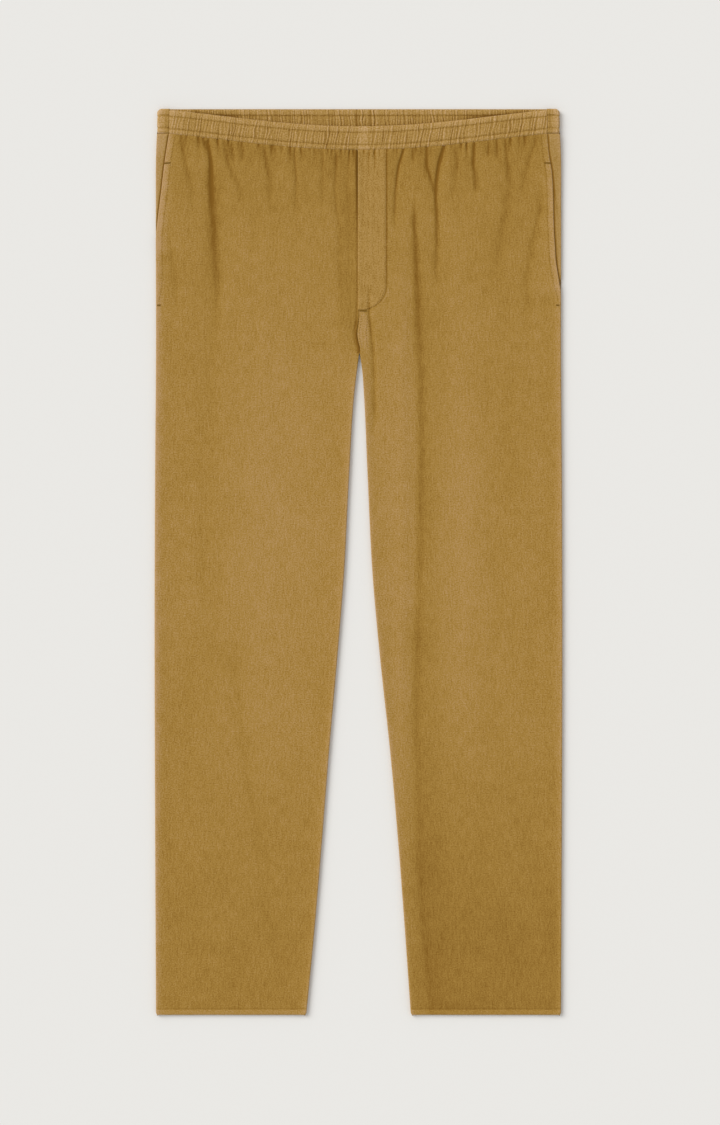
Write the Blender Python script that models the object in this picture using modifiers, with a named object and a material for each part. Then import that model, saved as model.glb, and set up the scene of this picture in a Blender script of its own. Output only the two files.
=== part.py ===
"""Men's pull-on trousers in cotton twill, laid flat with the front up.

Metres, +Z up. The garment rests on Z = 0, the waist points to +Y and the hems to -Y.
Right and left are the wearer's, so the right leg is at -X.
Each piece is an open sheet whose outer face is modelled, thickened inwards by Solidify.
"""

from math import cos, exp, pi, radians, sin, sqrt

import bmesh
import bpy

# Cloth and gaps
CLOTH = 0.0012  # wall of a leg panel
FLY_CLOTH = 0.0010
FACING_CLOTH = 0.0010
FACING_TURN = 0.0013  # height of the facing's turned outer edge
TUCKED_Z = 0.0027  # top of the facing where it lies under the front
CASING = 0.0026  # waistband: two layers of twill round the elastic
SEAM_GAP = 0.0003  # left between pieces that are sewn together

# Lengths down the garment
WAIST_Y = 0.510  # top edge of the back waistband
BAND_SIDE_Y = 0.482  # waist seam at the sides and across the back
FRONT_DROP = 0.019  # how far the front waist seam dips at the centre
FRONT_BAND_DEPTH = 0.0272
CROTCH_Y = 0.235
HEM_Y = -0.5097
HEM_STITCH_Y = -0.503

# Widths across it
HALF_WAIST = 0.2265
BAND_JOINT_X = 0.213  # where the front waistband meets the turned ends of the back one
CENTRE_X = 0.001  # centre front seam
FLY_EDGE_X = 0.0
FLY_WIDTH = 0.031
FLY_FOOT_WIDTH = 0.003
FLY_FOOT_Y = 0.284
FLY_CURVE_Y = 0.311
FLY_TOP_Y = 0.4615

# Heights of the layers
SEAM_Z = 0.0019  # side seams and inseams: the back panel's edge stops here
FRONT_CUT_Z = 0.0024  # and the front panel's or the facing's edge starts here
EDGE_Z = 0.0048  # top of the front panel just inside its folded edges
LEG_Z = 0.0040  # top of the front panel in the middle of a leg
REST_Z = 0.0028  # as low as the front panel sinks, where it lies on the back one
WAIST_Z = 0.0058  # top of the front panel at the waist seam
MOUTH_Z = 0.0052  # top of the front panel at the pocket mouth
BAND_Z = 0.0066  # top of the waistband

# Slanted pocket mouths: (Y, distance of the mouth from the middle of the garment)
MOUTH = {
    "right": ((0.482, 0.2135), (0.449, 0.2185), (0.419, 0.2220), (0.391, 0.2255), (0.362, 0.2285)),
    "left": ((0.482, 0.2120), (0.449, 0.2170), (0.419, 0.2190), (0.374, 0.2212), (0.340, 0.2250),
             (0.325, 0.2285)),
}
MOUTH_FOOT_Y = {"right": 0.320, "left": 0.296}  # below this the mouth lies on the side seam
MOUTH_TURN = 0.045  # length over which the front's edge flattens out above it
POCKET_FOOT_Y = 0.290
CROTCH_TURN = 0.060  # and over which the inseam's edges flatten out at the crotch

# Outer edge: (Y, distance from the middle)
OUTER = (
    (HEM_Y, 0.2255), (-0.5060, 0.2272), (-0.4980, 0.2280), (-0.060, 0.2300),
    (0.240, 0.2280), (0.464, 0.2280), (0.482, 0.2270), (0.510, 0.2262),
)
# Inner edge of each leg: (Y, distance from the middle)
INSEAM = {
    "right": ((HEM_Y, 0.0570), (-0.504, 0.0585), (-0.313, 0.0410), (-0.212, 0.0330), (-0.110, 0.0240),
              (-0.009, 0.0160), (0.092, 0.0105), (0.194, 0.0040), (0.228, 0.0002), (CROTCH_Y, -0.0008)),
    "left": ((HEM_Y, 0.0572), (-0.504, 0.0588), (-0.313, 0.0445), (-0.212, 0.0355), (-0.110, 0.0245),
             (-0.009, 0.0155), (0.092, 0.0105), (0.194, 0.0050), (0.228, 0.0018), (CROTCH_Y, 0.0012)),
}

# Largest folds of each front: ((Y, X) points from the top down, depth, half width)
FOLDS = {
    "right": (
        (((0.470, -0.169), (0.400, -0.167), (0.323, -0.161), (-0.090, -0.170)), 0.0013, 0.010),
        (((0.472, -0.144), (0.447, -0.142), (0.410, -0.128)), 0.0008, 0.008),
        (((0.466, -0.104), (0.400, -0.098), (0.370, -0.100)), 0.0009, 0.009),
        (((0.464, -0.070), (0.419, -0.068), (0.380, -0.074)), 0.0010, 0.009),
        (((0.462, -0.015), (0.400, -0.015), (0.260, -0.012)), 0.0012, 0.009),
        (((-0.140, -0.138), (-0.313, -0.113), (-0.495, -0.077)), 0.0007, 0.018),
    ),
    "left": (
        (((0.463, 0.049), (0.439, 0.046), (0.393, 0.040)), 0.0011, 0.008),
        (((0.463, 0.086), (0.432, 0.082), (0.346, 0.090)), 0.0013, 0.009),
        (((0.413, 0.060), (0.317, 0.065), (0.182, 0.071), (-0.155, 0.065), (-0.437, 0.076)), 0.0010, 0.015),
        (((0.469, 0.131), (0.447, 0.129), (0.424, 0.132)), 0.0009, 0.009),
        (((0.474, 0.165), (0.424, 0.172), (0.334, 0.154)), 0.0009, 0.010),
        (((0.280, 0.015), (0.230, 0.016), (0.180, 0.015)), 0.0007, 0.008),
    ),
}
FOLD_FADE = 0.030  # length over which a fold dies away at its lower end
FOLD_LEAD = 0.060  # and over which it starts above its upper end
RIM = 0.012  # how far in from its edges a front lies higher and has no folds
HEM_GROOVE = 0.0003  # depth of the hem's stitched line
FLY_SINK = 0.0010  # how far the front is pressed down under the fly at the waist
FLY_GAP = 0.00045  # between the front's face and the underside of the fly

# The waistband
BAND_SUNK = 0.0004  # how far its face lies below the highest gathers
BAND_LEVELS = ((0.0, 0.0005), (0.24, 0.0003), (0.5, 0.0), (0.74, 0.0003), (1.0, 0.0005))  # (share up, sunk)
CORNER = 0.0050  # the waist's top corners are rounded off over this height
CORNER_INSET = 0.0012

# Grids
FRONT_COLUMNS = 14
FRONT_STEP = 0.044
BACK_COLUMNS = 6
BACK_STEP = 0.064
FLY_COLUMNS = 4
FACING_ROWS = 8
BAND_COLUMNS = 36
TURN_STEPS = 2
TURN_ROWS = 4
TURN_LEAD = 0.0003  # an edge starts upright for this far, so that its cut face is level

CLOTH_COLOUR = (0.375, 0.220, 0.056, 1.0)
FLY_COLOUR = (0.405, 0.240, 0.064, 1.0)
FACING_COLOUR = (0.300, 0.172, 0.042, 1.0)


def clear_scene():
    for item in list(bpy.data.objects):
        bpy.data.objects.remove(item, do_unlink=True)


def material(name, colour, roughness):
    made = bpy.data.materials.new(name)
    made.use_nodes = True
    shader = made.node_tree.nodes["Principled BSDF"]
    shader.inputs["Base Color"].default_value = colour
    shader.inputs["Roughness"].default_value = roughness
    shader.inputs["Metallic"].default_value = 0.0
    return made


def smooth(t):
    t = min(max(t, 0.0), 1.0)
    return t * t * (3 - 2 * t)


def along(points, y):
    """The second value of (Y, value) points at this Y, on straight runs between them."""
    points = sorted(points)
    if y <= points[0][0]:
        return points[0][1]
    for (y0, a), (y1, b) in zip(points, points[1:]):
        if y <= y1:
            return a + (b - a) * (y - y0) / (y1 - y0)
    return points[-1][1]


def outer_x(y):
    return along(OUTER, y)


def inner_x(leg, y):
    """Distance of the leg's inner edge from the middle: its inseam, then its centre seam."""
    half_gap = SEAM_GAP / 2
    centre = half_gap - CENTRE_X if leg == "right" else half_gap + CENTRE_X
    if y >= CROTCH_Y:
        return centre
    return max(along(INSEAM[leg], y), centre)


def waist_seam_y(x):
    """The front waist seam, which dips towards the middle."""
    return BAND_SIDE_Y - FRONT_DROP * cos(min(abs(x) / HALF_WAIST, 1.0) * pi / 2) ** 1.3


def inseam_fold(y):
    """1 where the inner edge is folded over at the inseam, 0 along the centre seam."""
    return min(max((CROTCH_Y - y) / CROTCH_TURN, 0.0), 1.0)


def side_fold(leg, y):
    """1 where the front's outer edge is folded over at the side seam, 0 along the pocket mouth."""
    return 1 - min(max((y - MOUTH_FOOT_Y[leg]) / MOUTH_TURN, 0.0), 1.0)


def fold_depth(leg, x, y):
    total = 0.0
    for points, depth, half_width in FOLDS[leg]:
        foot = min(p[0] for p in points)
        across = (x - along(points, y)) / half_width
        above = smooth((points[0][0] + FOLD_LEAD - y) / FOLD_LEAD)
        below = smooth((y - foot + FOLD_FADE) / FOLD_FADE)
        total += depth * above * below * exp(-across * across)
    return total


def fly_bed(x, y):
    """1 under the fly, where the front lies lower."""
    across = smooth((x + 0.010) / 0.008) * smooth((0.043 - x) / 0.010)
    return across * smooth((y - 0.270) / 0.030)


def front_z(leg, x, y, from_edge):
    """Height of the front panel's outer face, without its turned edges."""
    waist = exp(-max(waist_seam_y(x) - y, 0.0) / 0.060)
    level = LEG_Z + (WAIST_Z - LEG_Z) * waist
    lift = max(EDGE_Z - level, 0.0) * exp(-from_edge / RIM)
    bed = fly_bed(x, y)
    depth = fold_depth(leg, x, y) * smooth(from_edge / RIM) * (1 - bed)
    hem = HEM_GROOVE * exp(-(((y - HEM_STITCH_Y) / 0.004) ** 2))
    room = level + lift - REST_Z
    return REST_Z + room * exp(-(depth + hem) / room) - FLY_SINK * bed * waist


def grid_object(name, rows, wall, paint):
    """A sheet through rows of points, each running the same way, with its outer face modelled."""
    sheet = bmesh.new()
    lines = [[sheet.verts.new(point) for point in row] for row in rows]
    for below, above in zip(lines, lines[1:]):
        for i in range(len(below) - 1):
            sheet.faces.new((below[i], below[i + 1], above[i + 1], above[i]))
    mesh = bpy.data.meshes.new(name)
    sheet.to_mesh(mesh)
    sheet.free()
    made = bpy.data.objects.new(name, mesh)
    bpy.data.collections["Trousers"].objects.link(made)
    made.data.materials.append(paint)
    thick = made.modifiers.new("Wall", "SOLIDIFY")
    thick.thickness = wall
    thick.offset = -1
    thick.use_even_offset = True
    made.data.shade_smooth()
    return made


def turned_profile(height, turned=1.0):
    """(inset, drop) points of an edge from its cut face to its flat, turned a right angle or less."""
    radius = height - TURN_LEAD
    points = [(0.0, height)]
    for i in range(TURN_STEPS + 1):
        a = radians(90) * i / TURN_STEPS
        points.append((radius * (1 - cos(a)), radius * (1 - sin(a))))
    even = [radius * i / (len(points) - 1) for i in range(len(points))]
    return [(x * turned + flat * (1 - turned), drop * turned) for (x, drop), flat in zip(points, even)]


def leg_columns(inner, outer, count, inner_edge, outer_edge):
    """(distance from the middle, drop from the flat) across a leg, between its two edges' profiles."""
    first = inner + inner_edge[-1][0]
    last = outer - outer_edge[-1][0]
    between = [(first + (last - first) * i / count, 0.0) for i in range(1, count)]
    return (
        [(inner + inset, drop) for inset, drop in inner_edge]
        + between
        + [(outer - inset, drop) for inset, drop in reversed(outer_edge)]
    )


def rows_up_the_leg(leg, step):
    """Heights of a panel's rows: at the hem, where an edge starts or stops turning, and between."""
    top = BAND_SIDE_Y - SEAM_GAP / 2
    marks = [HEM_Y, HEM_STITCH_Y, -0.496, CROTCH_Y - CROTCH_TURN, CROTCH_Y]
    marks += [MOUTH_FOOT_Y[leg], MOUTH_FOOT_Y[leg] + MOUTH_TURN, top]
    turns = (CROTCH_Y, MOUTH_FOOT_Y[leg] + MOUTH_TURN)
    heights = [HEM_Y]
    for low, high in zip(marks, marks[1:]):
        parts = TURN_ROWS if high in turns else max(1, round((high - low) / step))
        heights += [low + (high - low) * (i + 1) / parts for i in range(parts)]
    return heights


def front_panel(leg, paint):
    side = -1 if leg == "right" else 1
    rows = []
    for y_flat in rows_up_the_leg(leg, FRONT_STEP):
        inner = inner_x(leg, y_flat)
        seam = outer_x(y_flat)
        mouth = min(along(MOUTH[leg], y_flat), seam) if y_flat > POCKET_FOOT_Y else seam
        turned = side_fold(leg, y_flat)
        outer = seam * turned + mouth * (1 - turned)
        height = EDGE_Z - FRONT_CUT_Z
        inseam_edge = turned_profile(height, inseam_fold(y_flat))
        side_edge = turned_profile(height, turned)
        row = []
        for distance, turned_down in leg_columns(inner, outer, FRONT_COLUMNS, inseam_edge, side_edge):
            x = side * distance
            dip = (BAND_SIDE_Y - waist_seam_y(x)) * smooth((y_flat - 0.250) / (BAND_SIDE_Y - 0.250))
            y = y_flat - dip
            to_side = outer - distance
            from_edge = min(to_side, distance - inner if y_flat < CROTCH_Y else 1.0)
            z = front_z(leg, x, y, from_edge)
            z += (MOUTH_Z - z) * (1 - turned) * exp(-to_side / 0.020)
            z -= turned_down * (z - FRONT_CUT_Z) / height
            row.append((x, y, z))
        rows.append(row if side > 0 else row[::-1])
    return grid_object(f"front_{leg}_leg", rows, CLOTH, paint)


def back_panel(leg, paint):
    """The back of a leg, flat where it rests, its edges turned up to the side seam and the inseam."""
    side = -1 if leg == "right" else 1
    rows = []
    for y in rows_up_the_leg(leg, BACK_STEP):
        inseam_edge = turned_profile(SEAM_Z, inseam_fold(y))
        side_edge = turned_profile(SEAM_Z)
        columns = leg_columns(inner_x(leg, y), outer_x(y), BACK_COLUMNS, inseam_edge, side_edge)
        row = [(side * distance, y, turned_up) for distance, turned_up in columns]
        rows.append(row[::-1] if side > 0 else row)
    return grid_object(f"back_{leg}_leg", rows, CLOTH, paint)


def fly_edge_x(y):
    """The stitched edge of the fly: straight, then curving in to its foot."""
    if y >= FLY_CURVE_Y:
        return FLY_EDGE_X + FLY_WIDTH
    fall = (FLY_CURVE_Y - y) / (FLY_CURVE_Y - FLY_FOOT_Y)
    return FLY_EDGE_X + FLY_FOOT_WIDTH + (FLY_WIDTH - FLY_FOOT_WIDTH) * sqrt(max(1 - fall ** 2, 0.0))


def fly(paint):
    """The J-shaped fly, lying on the left front and just past the centre seam."""
    heights = [FLY_FOOT_Y, 0.2865, 0.290, 0.295, 0.302, FLY_CURVE_Y]
    heights += [FLY_CURVE_Y + (FLY_TOP_Y - FLY_CURVE_Y) * i / 9 for i in range(1, 10)]
    rows = []
    for y_flat in heights:
        edge = fly_edge_x(y_flat)
        row = []
        for i in range(FLY_COLUMNS + 1):
            x = FLY_EDGE_X + (edge - FLY_EDGE_X) * i / FLY_COLUMNS
            lift = waist_seam_y(x) - waist_seam_y(0.0)
            y = y_flat + lift * smooth((y_flat - 0.440) / 0.0215)
            z = front_z("left", x, y, 1.0) + FLY_GAP + FLY_CLOTH
            row.append((x, y, z))
        rows.append(row)
    return grid_object("fly", rows, FLY_CLOTH, paint)


def pocket_facing(leg, paint):
    """The cloth outside the pocket mouth. It turns over the outer edge and runs under the front."""
    side = -1 if leg == "right" else 1
    foot = POCKET_FOOT_Y + 0.002
    rows = []
    for k in range(FACING_ROWS + 1):
        y_flat = foot + (BAND_SIDE_Y - SEAM_GAP / 2 - foot) * k / FACING_ROWS
        hidden = side_fold(leg, y_flat - 0.010)
        edge = outer_x(y_flat) - 0.0060 * hidden
        top = FRONT_CUT_Z + FACING_TURN
        top += (TUCKED_Z - top) * hidden
        turned = [(edge - inset, top - drop) for inset, drop in turned_profile(FACING_TURN, 1 - hidden)]
        mouth = min(along(MOUTH[leg], y_flat), turned[-1][0] - 0.001)
        under = [(mouth, top), (mouth - 0.003, top), (mouth - 0.014, TUCKED_Z), (mouth - 0.026, TUCKED_Z)]
        row = []
        for distance, z in turned + under:
            x = side * distance
            dip = BAND_SIDE_Y - waist_seam_y(min(distance, BAND_JOINT_X))
            y = y_flat - dip * smooth((y_flat - 0.440) / 0.040)
            row.append((x, y, z))
        rows.append(row[::-1] if side > 0 else row)
    return grid_object(f"pocket_facing_{leg}", rows, FACING_CLOTH, paint)


def gather(index):
    """Gathers of a casing: ribs up and down in turn, of uneven height."""
    return (0.00030 + 0.00010 * sin(index * 1.7)) * (1 if index % 2 else -1)


def front_waistband(paint):
    """The front casing, between the turned ends of the back one, with two sunk stitch rows."""
    end = BAND_JOINT_X - SEAM_GAP / 2
    rows = []
    for share, sunk in BAND_LEVELS:
        row = []
        for i in range(BAND_COLUMNS + 1):
            x = -end + 2 * end * i / BAND_COLUMNS
            seam = waist_seam_y(x) + SEAM_GAP / 2
            z = BAND_Z - BAND_SUNK - sunk + gather(i)
            row.append((x, seam + FRONT_BAND_DEPTH * share, z))
        rows.append(row)
    return grid_object("waistband_front", rows, CASING, paint)


def back_waistband(paint):
    """The back casing: flat below, turned up and forward round both sides as far as the side joints."""
    radius = BAND_Z / 2
    end = BAND_JOINT_X + SEAM_GAP / 2
    low = BAND_SIDE_Y + SEAM_GAP / 2
    rows = []
    for share in (0.0, 0.25, 0.5, 0.75, 1 - CORNER / (WAIST_Y - BAND_SIDE_Y), 1.0):
        y = low + (WAIST_Y - low) * share
        side = outer_x(y) - (CORNER_INSET if share == 1.0 else 0.0)
        flat = side - radius
        left = [(end + (flat - end) * i / 2, BAND_Z) for i in range(2)]
        turn = [(flat + radius * sin(pi * i / 8), radius + radius * cos(pi * i / 8)) for i in range(9)]
        half = left + turn
        bottom = [(flat - 2 * flat * i / 20, 0.0) for i in range(1, 20)]
        path = half + bottom + [(-x, z) for x, z in reversed(half)]
        rows.append([(x, y, z) for x, z in path])
    return grid_object("waistband_back", rows, CASING, paint)


def build():
    clear_scene()
    garment = bpy.data.collections.new("Trousers")
    bpy.context.scene.collection.children.link(garment)
    for leg in ("right", "left"):
        front_panel(leg, material(f"twill_front_{leg}", CLOTH_COLOUR, 0.92))
        back_panel(leg, material(f"twill_back_{leg}", CLOTH_COLOUR, 0.92))
        pocket_facing(leg, material(f"twill_facing_{leg}", FACING_COLOUR, 0.95))
    fly(material("twill_fly", FLY_COLOUR, 0.90))
    front_waistband(material("twill_waistband_front", CLOTH_COLOUR, 0.90))
    back_waistband(material("twill_waistband_back", CLOTH_COLOUR, 0.90))


build()
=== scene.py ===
"""Men's pull-on trousers in garment-dyed cotton twill, laid flat with the front up.

Metres, +Z up. The waist points to +Y and the hems to -Y. Right and left are the wearer's,
so the right leg is at -X. The pieces come in the order in which they are laid and sewn.
"""
from math import pi, radians

import bmesh
import bpy
import numpy as np
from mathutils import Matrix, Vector


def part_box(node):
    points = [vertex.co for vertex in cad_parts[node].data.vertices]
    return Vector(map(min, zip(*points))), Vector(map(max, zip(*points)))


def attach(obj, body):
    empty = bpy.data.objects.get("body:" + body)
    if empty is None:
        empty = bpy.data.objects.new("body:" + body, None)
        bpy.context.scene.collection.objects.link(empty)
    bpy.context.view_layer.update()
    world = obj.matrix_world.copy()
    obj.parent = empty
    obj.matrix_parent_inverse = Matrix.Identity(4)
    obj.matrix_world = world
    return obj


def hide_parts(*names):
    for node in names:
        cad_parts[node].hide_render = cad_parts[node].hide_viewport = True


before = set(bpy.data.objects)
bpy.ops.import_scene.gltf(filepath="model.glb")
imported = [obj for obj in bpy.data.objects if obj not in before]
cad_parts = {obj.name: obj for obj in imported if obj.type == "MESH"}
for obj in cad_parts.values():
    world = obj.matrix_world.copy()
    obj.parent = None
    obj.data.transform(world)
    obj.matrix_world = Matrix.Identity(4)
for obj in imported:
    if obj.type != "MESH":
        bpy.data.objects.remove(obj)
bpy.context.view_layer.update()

# ---- The back legs ----
# Two legs of cotton twill, face down and flat where they rest. Their edges turn up to meet the
# fronts at the side seams and inseams, and they join each other in a plain centre back seam.
# The trousers were dyed after sewing and are paler where edges rub; their hollows are painted darker as
# shade and their ridges paler as highlights.

MM = 0.001
CLOTH = 0.8 * MM
# Each palette runs from its darkest colour, for deep dye and painted shade, through the dyed colour to its
# palest, for wear and painted highlights.
TWILL_COLOURS = {
    "deep_and_painted_shade": (0.215, 0.098, 0.008),
    "dyed": (0.385, 0.219, 0.042),
    "worn_and_painted_light": (0.505, 0.313, 0.142),
}
WALE_PITCH = 0.75 * MM
WALE_SLOPE = 0.62
PICK_PITCH = 0.42 * MM


def ease(t):
    t = np.clip(t, 0.0, 1.0)
    return t * t * (3 - 2 * t)


def hill(t):
    return np.exp(-t * t)


def through(points, at):
    """The value at each place of a smooth line through (place, value) points."""
    place, value = np.array(sorted(points)).T
    slope = np.gradient(value, place)
    at = np.clip(at, place[0], place[-1])
    i = np.clip(np.searchsorted(place, at, side="right") - 1, 0, len(place) - 2)
    step = place[i + 1] - place[i]
    t = (at - place[i]) / step
    ends = value[i] * (1 + 2 * t) * (1 - t) ** 2 + value[i + 1] * t * t * (3 - 2 * t)
    return ends + step * (slope[i] * t * (1 - t) ** 2 + slope[i + 1] * t * t * (t - 1))


def uneven(place, wavelength, seed=0.0):
    """A slow, irregular wave between about -1 and 1, for what hands and dye leave uneven."""
    p = 2 * pi * place / wavelength + seed
    return 0.5 * np.sin(p + 1.7 * np.sin(0.41 * p + seed)) + 0.5 * np.sin(1.618 * p + 2.3 * seed + 1)


def turned(share, radius, start):
    """(inset, drop) of cloth turned over an edge, at a share of the way round from where it starts."""
    angle = start + share * (pi / 2 - start)
    return radius * (np.cos(np.maximum(start, 0)) - np.cos(angle)), radius * (1 - np.sin(angle))


def blurred(values, reach):
    """A grid of values averaged over a number of cells each way along both of its sides."""
    for axis in (0, 1):
        cells = reach[axis]
        pad = [(cells, cells) if k == axis else (0, 0) for k in (0, 1)]
        total = np.cumsum(np.pad(values, pad, mode="edge"), axis=axis)
        total = np.insert(total, 0, 0.0, axis=axis)
        size = values.shape[axis]
        high = np.take(total, np.arange(size) + 2 * cells + 1, axis=axis)
        values = (high - np.take(total, np.arange(size), axis=axis)) / (2 * cells + 1)
    return values


def lay_cloth(name, place, cut, wear_and_shading, wall=CLOTH):
    """A flat grid laid through the places given, with its cut's own coordinates and its wear and painted
    shading.
    """
    rows, columns = place.shape[:2]
    cloth = bmesh.new()
    bmesh.ops.create_grid(cloth, x_segments=columns - 1, y_segments=rows - 1, size=0.5)
    mesh = bpy.data.meshes.new(name)
    cloth.to_mesh(mesh)
    cloth.free()
    flat = np.empty(len(mesh.vertices) * 3, np.float32)
    mesh.vertices.foreach_get("co", flat)
    flat = flat.reshape(-1, 3)
    i = np.rint((flat[:, 0] + 0.5) * (columns - 1)).astype(int)
    j = np.rint((flat[:, 1] + 0.5) * (rows - 1)).astype(int)
    mesh.vertices.foreach_set("co", place[j, i].astype(np.float32).ravel())
    loops = np.empty(len(mesh.loops), np.int32)
    mesh.loops.foreach_get("vertex_index", loops)
    on_cut = mesh.uv_layers.new(name="cut")
    on_cut.data.foreach_set("uv", cut[j, i][loops].astype(np.float32).ravel())
    worn_and_painted_light = mesh.attributes.new("wear_and_shading", "FLOAT", "POINT")
    worn_and_painted_light.data.foreach_set("value", wear_and_shading[j, i].astype(np.float32))
    mesh.shade_smooth()
    piece = bpy.data.objects.new(name, mesh)
    bpy.context.scene.collection.objects.link(piece)
    if wall:
        thick = piece.modifiers.new("Wall", "SOLIDIFY")
        thick.thickness = wall
        thick.offset = -1
    return piece


def relief_of(height, reach, scale):
    """How far each point stands above (+) or lies below (-) the cloth round it, from -1 to 1, for painting
    shade into hollows and highlights onto ridges.
    """
    stands = (height - blurred(height, reach)) / scale
    return np.where(stands < 0, 1.3 * np.tanh(stands / 1.3), 0.5 * np.tanh(stands))


def cut_of(place):
    """Each point's place on the flat cut, in metres: the length of cloth across, and the height."""
    step = np.hypot(np.diff(place[..., 0], axis=1), np.diff(place[..., 2], axis=1))
    across = np.concatenate([np.zeros((len(step), 1)), np.cumsum(step, axis=1)], axis=1)
    across -= across[:, -1:] / 2
    return np.stack([across, place[..., 1]], axis=-1)


def dyed_twill(name, shades, mottle=1.0):
    """The twill's finish: its diagonal threads, slubs, felted fuzz and uneven dye, paler for real wear and
    painted highlights and darker for painted shade.
    """
    finish = bpy.data.materials.new(name)
    finish.use_nodes = True
    tree = finish.node_tree
    new, link = tree.nodes.new, tree.links.new
    shader = tree.nodes["Principled BSDF"]
    shader.inputs["Specular IOR Level"].default_value = 0.15
    shader.inputs["Sheen Weight"].default_value = 0.10
    shader.inputs["Sheen Tint"].default_value = (0.95, 0.7, 0.42, 1)
    shader.inputs["Sheen Roughness"].default_value = 0.5

    def calculate(kind, a, b, c=None):
        node = new("ShaderNodeMath")
        node.operation = kind
        for socket, value in zip(node.inputs, (a, b, c)):
            if isinstance(value, (int, float)):
                socket.default_value = value
            elif value is not None:
                link(value, socket)
        return node.outputs[0]

    def noise(vector, scale, detail, stretch=(1, 1, 1)):
        mapping = new("ShaderNodeMapping")
        mapping.inputs["Scale"].default_value = stretch
        link(vector, mapping.inputs["Vector"])
        node = new("ShaderNodeTexNoise")
        node.inputs["Scale"].default_value = scale
        node.inputs["Detail"].default_value = detail
        link(mapping.outputs[0], node.inputs["Vector"])
        return calculate("SUBTRACT", node.outputs["Fac"], 0.5)

    cut = new("ShaderNodeUVMap")
    cut.uv_map = "cut"
    place = new("ShaderNodeTexCoord").outputs["Object"]
    wear_and_shading = new("ShaderNodeAttribute")
    wear_and_shading.attribute_name = "wear_and_shading"

    cloudy = noise(place, 18, 3)
    blotchy = noise(place, 95, 2)
    slubs = noise(cut.outputs[0], 480, 2, (1, 0.16, 1))
    speckle = noise(cut.outputs[0], 700, 2)

    split = new("ShaderNodeSeparateXYZ")
    link(cut.outputs[0], split.inputs[0])
    rise = calculate("MULTIPLY_ADD", split.outputs["Y"], WALE_SLOPE, split.outputs["X"])
    wales = calculate("SINE", calculate("MULTIPLY", rise, 2 * pi / WALE_PITCH), 0)
    picks = calculate("SINE", calculate("MULTIPLY", split.outputs["Y"], 2 * pi / PICK_PITCH), 0)
    weave = calculate("MULTIPLY_ADD", picks, 0.35, wales)

    # The wear attribute moves the colour towards the palest end for real wear and painted highlights, and
    # towards the darkest end for painted shade.
    shade = calculate("MULTIPLY_ADD", wear_and_shading.outputs["Fac"], 0.4, 0.5)
    for wave, amount in ((cloudy, 0.15), (blotchy, 0.18), (slubs, 0.46)):
        shade = calculate("MULTIPLY_ADD", wave, amount * mottle, shade)
    grain = calculate("MULTIPLY_ADD", wear_and_shading.outputs["Fac"], 0.55 * mottle, 1.25 * mottle)
    shade = calculate("MULTIPLY_ADD", speckle, grain, shade)
    shade = calculate("MULTIPLY_ADD", weave, 0.035, shade)
    ramp = new("ShaderNodeValToRGB")
    ramp.color_ramp.elements[0].color = (*shades["deep_and_painted_shade"], 1)
    ramp.color_ramp.elements[1].color = (*shades["worn_and_painted_light"], 1)
    middle = ramp.color_ramp.elements.new(0.5)
    middle.color = (*shades["dyed"], 1)
    link(shade, ramp.inputs[0])
    link(ramp.outputs[0], shader.inputs["Base Color"])
    link(calculate("MULTIPLY_ADD", speckle, 0.25, 0.86), shader.inputs["Roughness"])

    fuzz = new("ShaderNodeBump")
    fuzz.inputs["Strength"].default_value = 0.5
    fuzz.inputs["Distance"].default_value = 0.35 * MM
    link(calculate("ADD", speckle, calculate("MULTIPLY", slubs, 0.8)), fuzz.inputs["Height"])
    threads_bump = new("ShaderNodeBump")
    threads_bump.inputs["Strength"].default_value = 0.35
    threads_bump.inputs["Distance"].default_value = 0.06 * MM
    link(weave, threads_bump.inputs["Height"])
    link(fuzz.outputs[0], threads_bump.inputs["Normal"])
    link(threads_bump.outputs[0], shader.inputs["Normal"])
    return finish


def sewn_in(piece, node, finish):
    """The piece takes its finish, joins the root body and hides the solid it stands for."""
    piece.data.materials.append(finish)
    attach(piece, "root")
    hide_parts(node)


leg_twill = dyed_twill("leg_twill", TWILL_COLOURS)

# The outline of all four legs: nearly straight outside, with inseams that taper out from the crotch.
LEGS = {"right": -1, "left": 1}
HEM_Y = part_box("back_right_leg")[0].y
SIDE_WAIST_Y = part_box("back_right_leg")[1].y
WAIST_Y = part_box("waistband_back")[1].y
CROTCH_Y = 0.235
CENTRE_X = (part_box("front_right_leg")[1].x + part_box("front_left_leg")[0].x) / 2
HALF_SEAM = 0.1 * MM
HEM_CORNER = 3.0 * MM
HEM_STITCH_Y = HEM_Y + 6.8 * MM

# (Y, distance from the middle) of the outer edge and of each inseam
OUTER = (
    (HEM_Y, 0.228), (-0.3, 0.229), (-0.06, 0.2296), (0.1, 0.229), (0.24, 0.228),
    (0.4, 0.2282), (0.464, 0.2278), (0.482, 0.227), (0.51, 0.2262),
)
INSEAM = {
    "right": ((HEM_Y, 0.0588), (-0.414, 0.0495), (-0.313, 0.041), (-0.212, 0.033),
              (-0.11, 0.024), (-0.009, 0.016), (0.092, 0.0108), (0.194, 0.0042), (CROTCH_Y, -0.0008)),
    "left": ((HEM_Y, 0.059), (-0.414, 0.0522), (-0.313, 0.0445), (-0.212, 0.0355),
             (-0.11, 0.0245), (-0.009, 0.0155), (0.092, 0.0105), (0.194, 0.0058),
             (0.216, 0.0042), (CROTCH_Y, 0.0014)),
}


def hem_corner(y):
    """How much the hem's corners are rounded off at each height."""
    over = np.clip((HEM_Y + HEM_CORNER - y) / HEM_CORNER, 0, 1)
    return 0.8 * HEM_CORNER * (1 - np.sqrt(1 - 0.96 * over ** 2))


def outer_x(y):
    return through(OUTER, y) - hem_corner(y)


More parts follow.
